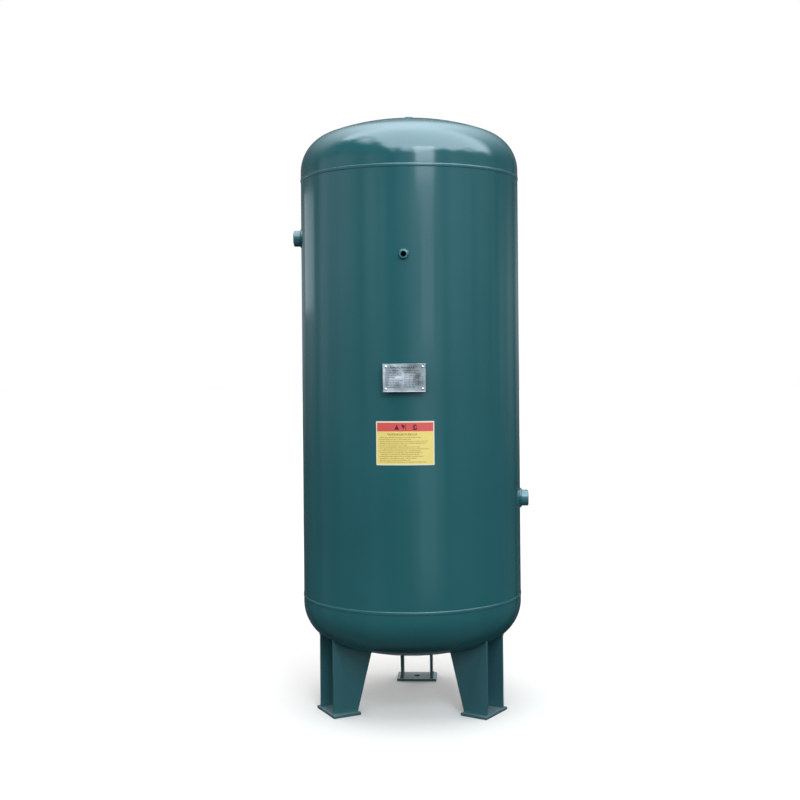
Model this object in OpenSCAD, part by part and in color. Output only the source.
// Upright welded air receiver: rolled shell, two dished heads, five threaded sockets,
// a standing nameplate, a label and three legs made of paired cheek plates.
// Origin on the vessel's axis at floor level, +Z up, nameplate towards -Y.

/* [Vessel] */
// Outer diameter of shell and heads
vessel_d = 812; // [640:1:1000]
// Plate thickness of shell and heads
wall_t = 6; // [4:0.1:10]
// Length of the rolled shell plate
shell_len = 1537; // [1250:1:2100]
// Depth of a dished head above its straight flange
head_depth = 192; // [158:1:240]
// Outer knuckle radius of a head
knuckle_r = 144; // [110:1:150]
// Straight flange of the top head
top_flange_len = 30; // [20:1:50]
// Straight flange of the bottom head
bottom_flange_len = 23; // [18:1:50]
// Height of the bottom head's pole above the floor
bottom_clear = 193; // [150:1:300]

/* [Welds] */
// Root gap between the plates at a butt weld
root_gap = 3; // [2:0.5:4]
// Half of the groove's opening angle
groove_angle = 30; // [25:1:35]
// Height of a butt weld's cap above the plate
cap_proud = 1.5; // [0.8:0.1:2.5]
// Overlap of the cap on each plate
cap_lap = 1.5; // [1:0.1:3]
// Direction of the shell's long seam, from +X towards +Y
seam_angle = 112; // [100:1:130]
// Width of the backing ring behind the closing seam
ring_w = 40; // [25:1:60]
// Thickness of the backing ring
ring_t = 4; // [3:0.5:6]

/* [Air ports] */
// Outer diameter of the inlet and outlet sockets
port_od = 60; // [54:0.5:72]
// Thread minor diameter of the inlet and outlet sockets
port_bore_d = 44.84; // [38:0.01:48]
// How far the air sockets stand out of the shell
port_out = 31; // [22:1:45]
// How far the outlet lies below the shell's top edge
outlet_drop = 208; // [120:1:450]
// How far the inlet lies above the shell's bottom edge
inlet_rise = 349; // [100:1:585]
// Leg of the fillet weld around an air socket
port_fillet = 8; // [5:0.5:10]

/* [Small sockets] */
// Outer diameter of the gauge and drain sockets
small_od = 30; // [27:0.5:36]
// Thread minor diameter of the gauge and drain sockets
small_bore_d = 18.64; // [15:0.01:21]
// How far the gauge and drain sockets stand out
small_out = 14; // [9:1:20]
// How far the gauge socket lies below the shell's top edge
gauge_drop = 306; // [100:1:500]
// Outer diameter of the relief valve socket
relief_od = 36; // [32:0.5:44]
// Thread minor diameter of the relief valve socket
relief_bore_d = 24.12; // [20:0.01:27]
// How far the relief valve socket stands out
relief_out = 18; // [14:1:30]
// Leg of the fillet weld around a small socket
small_fillet = 5; // [4.5:0.5:6]

/* [All sockets] */
// How far every socket reaches inside the wall
socket_in = 4; // [2:0.5:10]
// Chamfer on a socket's outer rim
rim_chamfer = 1.5; // [0.5:0.1:2.5]
// Countersink at the mouth of a thread
mouth_chamfer = 1.5; // [0.5:0.1:2.5]
// Radial clearance between a socket and its hole
hole_clear = 0.5; // [0.2:0.1:1]

/* [Nameplate] */
// Width of the nameplate
plate_w = 146; // [110:1:200]
// Height of the nameplate
plate_h = 96; // [80:1:140]
// Thickness of the nameplate
plate_t = 1; // [0.5:0.1:2]
// How far the nameplate's centre lies above the shell's bottom edge
plate_rise = 808; // [730:1:1085]
// Clear space between the bracket's back and the shell
stand_off = 20; // [12:1:40]
// Sheet thickness of the bracket
bracket_t = 3; // [2:0.5:5]
// How far the bracket stays inside the nameplate's edge
bracket_inset = 4; // [2:0.5:10]
// Leg of the bracket's fillet welds
bracket_fillet = 3; // [2:0.5:4]
// Rivet shank diameter
rivet_d = 4; // [3:0.1:5]
// Diametral clearance of a rivet in its holes
rivet_clear = 0.2; // [0.1:0.1:0.5]
// Rivet head diameter
rivet_head_d = 8; // [6:0.1:9]
// Rivet head height
rivet_head_h = 2; // [1:0.1:3]
// Distance of a rivet from the nameplate's edges
rivet_edge = 10; // [8:0.5:14]

/* [Label] */
// Width of the caution label
label_w = 200; // [150:1:260]
// Height of the caution label
label_h = 151; // [120:1:200]
// Thickness of the label's film
label_t = 0.4; // [0.3:0.1:0.6]
// How far the label's centre lies above the shell's bottom edge
label_rise = 584; // [200:1:625]

/* [Legs] */
// How far the outer edge of a leg stays inside the shell's outside
leg_inset = 54; // [40:1:80]
// Width over the two cheek plates of a leg
leg_span = 124; // [100:1:150]
// Thickness of a cheek plate
cheek_t = 8; // [5:0.5:12]
// Radial width of a cheek plate at its base
cheek_base_w = 95; // [80:1:130]
// Lean of a cheek plate's inner edge from upright
cheek_rake = 15.2; // [0:0.1:20]
// Thickness of a foot plate
foot_t = 10; // [6:0.5:16]
// How far a foot plate passes the cheeks sideways
foot_side_lip = 16; // [10:1:25]
// How far a foot plate passes the cheeks outwards
foot_outer_lip = 6; // [0:0.5:15]
// How far a foot plate passes the cheeks inwards
foot_inner_lip = 5; // [0:0.5:15]
// Diameter of the anchor hole in a foot plate
anchor_d = 24; // [18:0.5:30]
// Leg of the fillet welds on a leg
leg_fillet = 5; // [3:0.5:7]

/* [Hidden] */
$fn = 96;

// Enamel, weld, bare metal and label colours
enamel = [0.16, 0.35, 0.37];
enamel_weld = [0.19, 0.39, 0.41];
bare_steel = [0.55, 0.56, 0.57];
aluminium = [0.72, 0.73, 0.74];
label_yellow = [0.92, 0.84, 0.45];

// Vessel radii and the heights of its seams and poles
vessel_r = vessel_d / 2;
inner_r = vessel_r - wall_t;
bottom_equator = bottom_clear + head_depth;
bottom_rim = bottom_equator + bottom_flange_len;
shell_bottom = bottom_rim + root_gap;
shell_top = shell_bottom + shell_len;
top_rim = shell_top + root_gap;
top_equator = top_rim + top_flange_len;
top_pole = top_equator + head_depth;

// Heights above the floor of what the shell carries
outlet_z = shell_top - outlet_drop;
inlet_z = shell_bottom + inlet_rise;
gauge_z = shell_top - gauge_drop;
plate_z = shell_bottom + plate_rise;
label_z = shell_bottom + label_rise;

// Crown radius that meets the knuckle without a corner, and the angle where they meet
knuckle_x = vessel_r - knuckle_r;
crown_r = (knuckle_x^2 + head_depth^2 - knuckle_r^2) / (2 * (head_depth - knuckle_r));
crown_z = head_depth - crown_r;
meet_angle = atan2(-crown_z, knuckle_x);
// A hair of overlap, so that neighbouring outlines join cleanly
tuck = 0.005;

// Groove and cap of a butt weld
bevel = wall_t * tan(groove_angle);
groove_half = root_gap / 2 + bevel;
cap_half = groove_half + cap_lap;
cap_r = (cap_half^2 + cap_proud^2) / (2 * cap_proud);

// Port directions around the vessel
front = -90;
left = 180;
right = 0;

// Bracket sheet
bracket_w = plate_w - 2 * bracket_inset;
bracket_h = plate_h - 2 * bracket_inset;
bracket_back = vessel_r + stand_off;
bracket_front = bracket_back + bracket_t;
plate_front = bracket_front + plate_t;
rivet_x = plate_w / 2 - rivet_edge;
rivet_z = plate_h / 2 - rivet_edge;
rivet_tail_h = 1.5;
rivet_tail_d = rivet_d * 1.5;

// Legs: where the plates stand, measured from the vessel's axis
leg_outer = vessel_r - leg_inset;
leg_inner = leg_outer - cheek_base_w;
foot_outer = leg_outer + foot_outer_lip;
foot_inner = leg_inner - foot_inner_lip;
foot_w = leg_span + 2 * foot_side_lip;
anchor_r = (foot_outer + foot_inner) / 2;
cheek_top_inner = leg_inner - tan(cheek_rake) * (bottom_equator - foot_t);
left_leg = -150;
right_leg = -30;
rear_leg = 90;

// Longer than anything it has to cut through
far = 2 * vessel_d;

// ---- Outlines, in a plane of radius and height ----

// Dished region above its flange, grown outwards by `grow`.
// The knuckle's centre sits a hair high, so that its arc crosses the crown's arc cleanly.
module dome_outline(grow = 0) {
    intersection() {
        translate([0, crown_z]) circle(r = crown_r + grow, $fn = 360);
        square([knuckle_x + (knuckle_r + grow) * cos(meet_angle), far]);
    }
    translate([knuckle_x, tuck]) intersection() {
        circle(r = knuckle_r + grow);
        square(far);
    }
    square([vessel_r + grow, tuck]);
}

// Cap of a butt weld, above the line x = 0
module cap_outline() {
    intersection() {
        translate([cap_proud - cap_r, 0]) circle(r = cap_r, $fn = 180);
        translate([0, -cap_half]) square([2 * cap_proud, 2 * cap_half]);
    }
}

// ---- Solids that other pieces are cut by ----

module shell_solid() {
    cylinder(r = vessel_r, h = shell_top + far, $fn = 720);
}

module dome_solid(grow = 0) {
    rotate_extrude($fn = 360) dome_outline(grow);
}

module at_top_dome() {
    translate([0, 0, top_equator]) children();
}

module at_bottom_dome() {
    translate([0, 0, bottom_equator]) mirror([0, 0, 1]) children();
}

// ---- Places: local +Z points out of the wall, z = 0 on its outside ----

module on_shell(angle, z) {
    translate([0, 0, z]) rotate([0, 0, angle]) translate([vessel_r, 0, 0]) rotate([0, 90, 0]) children();
}

module on_top() {
    translate([0, 0, top_pole]) children();
}

module on_bottom() {
    translate([0, 0, bottom_clear]) rotate([180, 0, 0]) children();
}

module on_leg(angle) {
    rotate([0, 0, angle]) children();
}

// ---- Repeated shapes ----

// Threaded half coupling, drawn with its thread at the minor diameter
module socket(od, bore_d, out) {
    rotate_extrude() polygon([
        [bore_d / 2, -wall_t - socket_in],
        [od / 2, -wall_t - socket_in],
        [od / 2, out - rim_chamfer],
        [od / 2 - rim_chamfer, out],
        [bore_d / 2 + mouth_chamfer, out],
        [bore_d / 2, out - mouth_chamfer]
    ]);
}

// Hole that a socket passes through
module socket_hole(od) {
    cylinder(d = od + 2 * hole_clear, h = 4 * wall_t, center = true);
}

// Dished wall and a straight flange with a bevelled rim
module head(flange) {
    rotate_extrude() difference() {
        dome_outline();
        dome_outline(-wall_t);
    }
    rotate_extrude() polygon([
        [inner_r, 0],
        [vessel_r, 0],
        [vessel_r, bevel - flange],
        [inner_r, -flange]
    ]);
}

module girth_weld(z) {
    translate([0, 0, z]) rotate_extrude() union() {
        polygon([
            [inner_r, -root_gap / 2],
            [vessel_r, -groove_half],
            [vessel_r + tuck, -groove_half],
            [vessel_r + tuck, groove_half],
            [vessel_r, groove_half],
            [inner_r, root_gap / 2]
        ]);
        translate([vessel_r, 0]) cap_outline();
    }
}

// Cheek plate as cut from sheet: `out` moves it sideways from the leg's middle, x runs outwards
module cheek_blank(out, thick) {
    translate([0, out, 0]) rotate([90, 0, 0]) linear_extrude(thick, center = true) polygon([
        [leg_inner, foot_t],
        [leg_outer, foot_t],
        [leg_outer, bottom_equator],
        [cheek_top_inner, bottom_equator]
    ]);
}

module cheek(angle, side) {
    color(enamel) difference() {
        on_leg(angle) cheek_blank(side * (leg_span - cheek_t) / 2, cheek_t);
        at_bottom_dome() dome_solid();
    }
}

module foot_plate(angle) {
    color(enamel) on_leg(angle) difference() {
        translate([foot_inner, -foot_w / 2, 0]) cube([foot_outer - foot_inner, foot_w, foot_t]);
        translate([anchor_r, 0, -foot_t]) cylinder(d = anchor_d, h = 3 * foot_t);
    }
}

// Beads between the outsides of a leg's cheeks and the head
module leg_weld(angle) {
    color(enamel_weld) for (side = [-1, 1]) difference() {
        intersection() {
            on_leg(angle) cheek_blank(side * (leg_span + leg_fillet) / 2, leg_fillet);
            at_bottom_dome() dome_solid(leg_fillet);
        }
        at_bottom_dome() dome_solid();
    }
}

// Beads between the outsides of a leg's cheeks and its foot plate
module foot_weld(angle) {
    color(enamel_weld) on_leg(angle) for (side = [0, 1]) mirror([0, side, 0])
        translate([leg_inner, leg_span / 2, foot_t]) rotate([90, 0, 90])
            linear_extrude(cheek_base_w) polygon([[0, 0], [leg_fillet, 0], [0, leg_fillet]]);
}

// ---- Vessel ----

module shell() {
    color(enamel) difference() {
        rotate_extrude() polygon([
            [inner_r, shell_bottom],
            [vessel_r, shell_bottom + bevel],
            [vessel_r, shell_top - bevel],
            [inner_r, shell_top]
        ]);
        on_shell(left, outlet_z) socket_hole(port_od);
        on_shell(right, inlet_z) socket_hole(port_od);
        on_shell(front, gauge_z) socket_hole(small_od);
        seam_groove();
    }
}

// The long seam runs from one girth weld's cap to the other's
module along_seam() {
    translate([0, 0, shell_bottom + cap_half]) rotate([0, 0, seam_angle])
        linear_extrude(shell_len - 2 * cap_half) children();
}

// Groove in plan, a little deeper and wider than the wall so that it cuts cleanly
module groove_outline() {
    polygon([
        [inner_r - wall_t, -root_gap / 2],
        [inner_r, -root_gap / 2],
        [vessel_r + wall_t, -groove_half - bevel],
        [vessel_r + wall_t, groove_half + bevel],
        [inner_r, root_gap / 2],
        [inner_r - wall_t, root_gap / 2]
    ]);
}

module seam_groove() {
    along_seam() groove_outline();
}

module shell_seam_weld() {
    color(enamel_weld) along_seam() {
        intersection() {
            groove_outline();
            difference() {
                circle(r = vessel_r, $fn = 360);
                circle(r = inner_r, $fn = 360);
            }
        }
        difference() {
            translate([vessel_r + cap_proud - cap_r, 0]) circle(r = cap_r, $fn = 180);
            circle(r = vessel_r, $fn = 360);
        }
    }
}

module top_head() {
    color(enamel) difference() {
        at_top_dome() head(top_flange_len);
        on_top() socket_hole(relief_od);
    }
}

module bottom_head() {
    color(enamel) difference() {
        at_bottom_dome() head(bottom_flange_len);
        on_bottom() socket_hole(small_od);
    }
}

module top_girth_weld() {
    color(enamel_weld) girth_weld(shell_top + root_gap / 2);
}

module bottom_girth_weld() {
    color(enamel_weld) girth_weld(shell_bottom - root_gap / 2);
}

module closing_backing_ring() {
    color(bare_steel) translate([0, 0, shell_top + (root_gap - ring_w) / 2]) difference() {
        cylinder(r = inner_r, h = ring_w);
        translate([0, 0, -ring_w]) cylinder(r = inner_r - ring_t, h = 3 * ring_w);
    }
}

// ---- Sockets and their welds ----

module shell_socket(angle, z, od, bore_d, out) {
    color(enamel) on_shell(angle, z) socket(od, bore_d, out);
}

// The shell curves away to the sides, so the ring starts deeper than the shell does
module shell_socket_weld(angle, z, od, leg) {
    deep = wall_t / 2 + vessel_r - sqrt(vessel_r^2 - (od / 2 + 2 * leg)^2);
    color(enamel_weld) difference() {
        on_shell(angle, z) rotate_extrude($fn = 180) polygon([
            [od / 2, -deep],
            [od / 2 + leg + deep, -deep],
            [od / 2, leg]
        ]);
        shell_solid();
    }
}

// How far the crown falls away at a distance from its pole
function crown_drop(x) = crown_r - sqrt(crown_r^2 - x^2);

// On a head's pole the ring's underside follows the crown
module pole_socket_weld(od, leg) {
    color(enamel_weld) rotate_extrude() polygon([
        [od / 2, -crown_drop(od / 2)],
        [od / 2 + leg, -crown_drop(od / 2 + leg)],
        [od / 2, leg]
    ]);
}

module relief_socket() {
    color(enamel) on_top() socket(relief_od, relief_bore_d, relief_out);
}

module relief_socket_weld() {
    on_top() pole_socket_weld(relief_od, small_fillet);
}

module drain_socket() {
    color(enamel) on_bottom() socket(small_od, small_bore_d, small_out);
}

module drain_socket_weld() {
    on_bottom() pole_socket_weld(small_od, small_fillet);
}

// ---- Nameplate and label ----

module rivet_places() {
    for (x = [-rivet_x, rivet_x], z = [-rivet_z, rivet_z])
        translate([x, -plate_front, plate_z + z]) rotate([90, 0, 0]) children();
}

module rivet_holes() {
    rivet_places() cylinder(d = rivet_d + rivet_clear, h = 2 * stand_off, center = true);
}

module nameplate_bracket() {
    color(enamel) difference() {
        translate([-bracket_w / 2, -bracket_front, plate_z - bracket_h / 2])
            cube([bracket_w, bracket_front, bracket_h]);
        translate([-bracket_w / 2 + bracket_t, -bracket_back, plate_z - bracket_h])
            cube([bracket_w - 2 * bracket_t, bracket_front, 2 * bracket_h]);
        shell_solid();
        rivet_holes();
    }
}

module bracket_weld() {
    toe = vessel_r - sqrt(vessel_r^2 - (bracket_w / 2 + bracket_fillet)^2);
    root = vessel_r - sqrt(vessel_r^2 - (bracket_w / 2)^2);
    color(enamel_weld) for (side = [0, 1]) mirror([side, 0, 0])
        translate([0, 0, plate_z - bracket_h / 2]) linear_extrude(bracket_h) difference() {
            polygon([
                [bracket_w / 2, toe - vessel_r],
                [bracket_w / 2 + bracket_fillet, toe - vessel_r],
                [bracket_w / 2, root - vessel_r - bracket_fillet]
            ]);
            circle(r = vessel_r, $fn = 360);
        }
}

module nameplate() {
    color(aluminium) difference() {
        translate([-plate_w / 2, -plate_front, plate_z - plate_h / 2]) cube([plate_w, plate_t, plate_h]);
        rivet_holes();
    }
}

// Each rivet: domed head on the plate, shank, and a tail set behind the bracket
module nameplate_rivets() {
    grip = plate_t + bracket_t;
    dome_r = (rivet_head_d^2 / 4 + rivet_head_h^2) / (2 * rivet_head_h);
    color(aluminium) rivet_places() union() {
        intersection() {
            translate([0, 0, rivet_head_h - dome_r]) sphere(r = dome_r);
            cylinder(d = rivet_head_d, h = 2 * rivet_head_h);
        }
        translate([0, 0, -grip]) cylinder(d = rivet_d, h = grip);
        translate([0, 0, -grip - rivet_tail_h]) cylinder(d = rivet_tail_d, h = rivet_tail_h);
    }
}

module caution_label() {
    color(label_yellow) translate([0, 0, label_z - label_h / 2]) linear_extrude(label_h) difference() {
        intersection() {
            circle(r = vessel_r + label_t, $fn = 360);
            translate([-label_w / 2, -far]) square([label_w, far]);
        }
        circle(r = vessel_r, $fn = 360);
    }
}

shell();
shell_seam_weld();
top_head();
bottom_head();
top_girth_weld();
bottom_girth_weld();
closing_backing_ring();
shell_socket(left, outlet_z, port_od, port_bore_d, port_out);  // outlet_socket
shell_socket_weld(left, outlet_z, port_od, port_fillet);  // outlet_socket_weld
shell_socket(right, inlet_z, port_od, port_bore_d, port_out);  // inlet_socket
shell_socket_weld(right, inlet_z, port_od, port_fillet);  // inlet_socket_weld
shell_socket(front, gauge_z, small_od, small_bore_d, small_out);  // gauge_socket
shell_socket_weld(front, gauge_z, small_od, small_fillet);  // gauge_socket_weld
relief_socket();
relief_socket_weld();
drain_socket();
drain_socket_weld();
nameplate_bracket();
bracket_weld();
nameplate();
nameplate_rivets();
caution_label();
cheek(left_leg, 1);  // left_leg_front_cheek
cheek(left_leg, -1);  // left_leg_rear_cheek
foot_plate(left_leg);  // left_foot_plate
leg_weld(left_leg);  // left_leg_weld
foot_weld(left_leg);  // left_foot_weld
cheek(right_leg, -1);  // right_leg_front_cheek
cheek(right_leg, 1);  // right_leg_rear_cheek
foot_plate(right_leg);  // right_foot_plate
leg_weld(right_leg);  // right_leg_weld
foot_weld(right_leg);  // right_foot_weld
cheek(rear_leg, 1);  // rear_leg_left_cheek
cheek(rear_leg, -1);  // rear_leg_right_cheek
foot_plate(rear_leg);  // rear_foot_plate
leg_weld(rear_leg);  // rear_leg_weld
foot_weld(rear_leg);  // rear_foot_weld
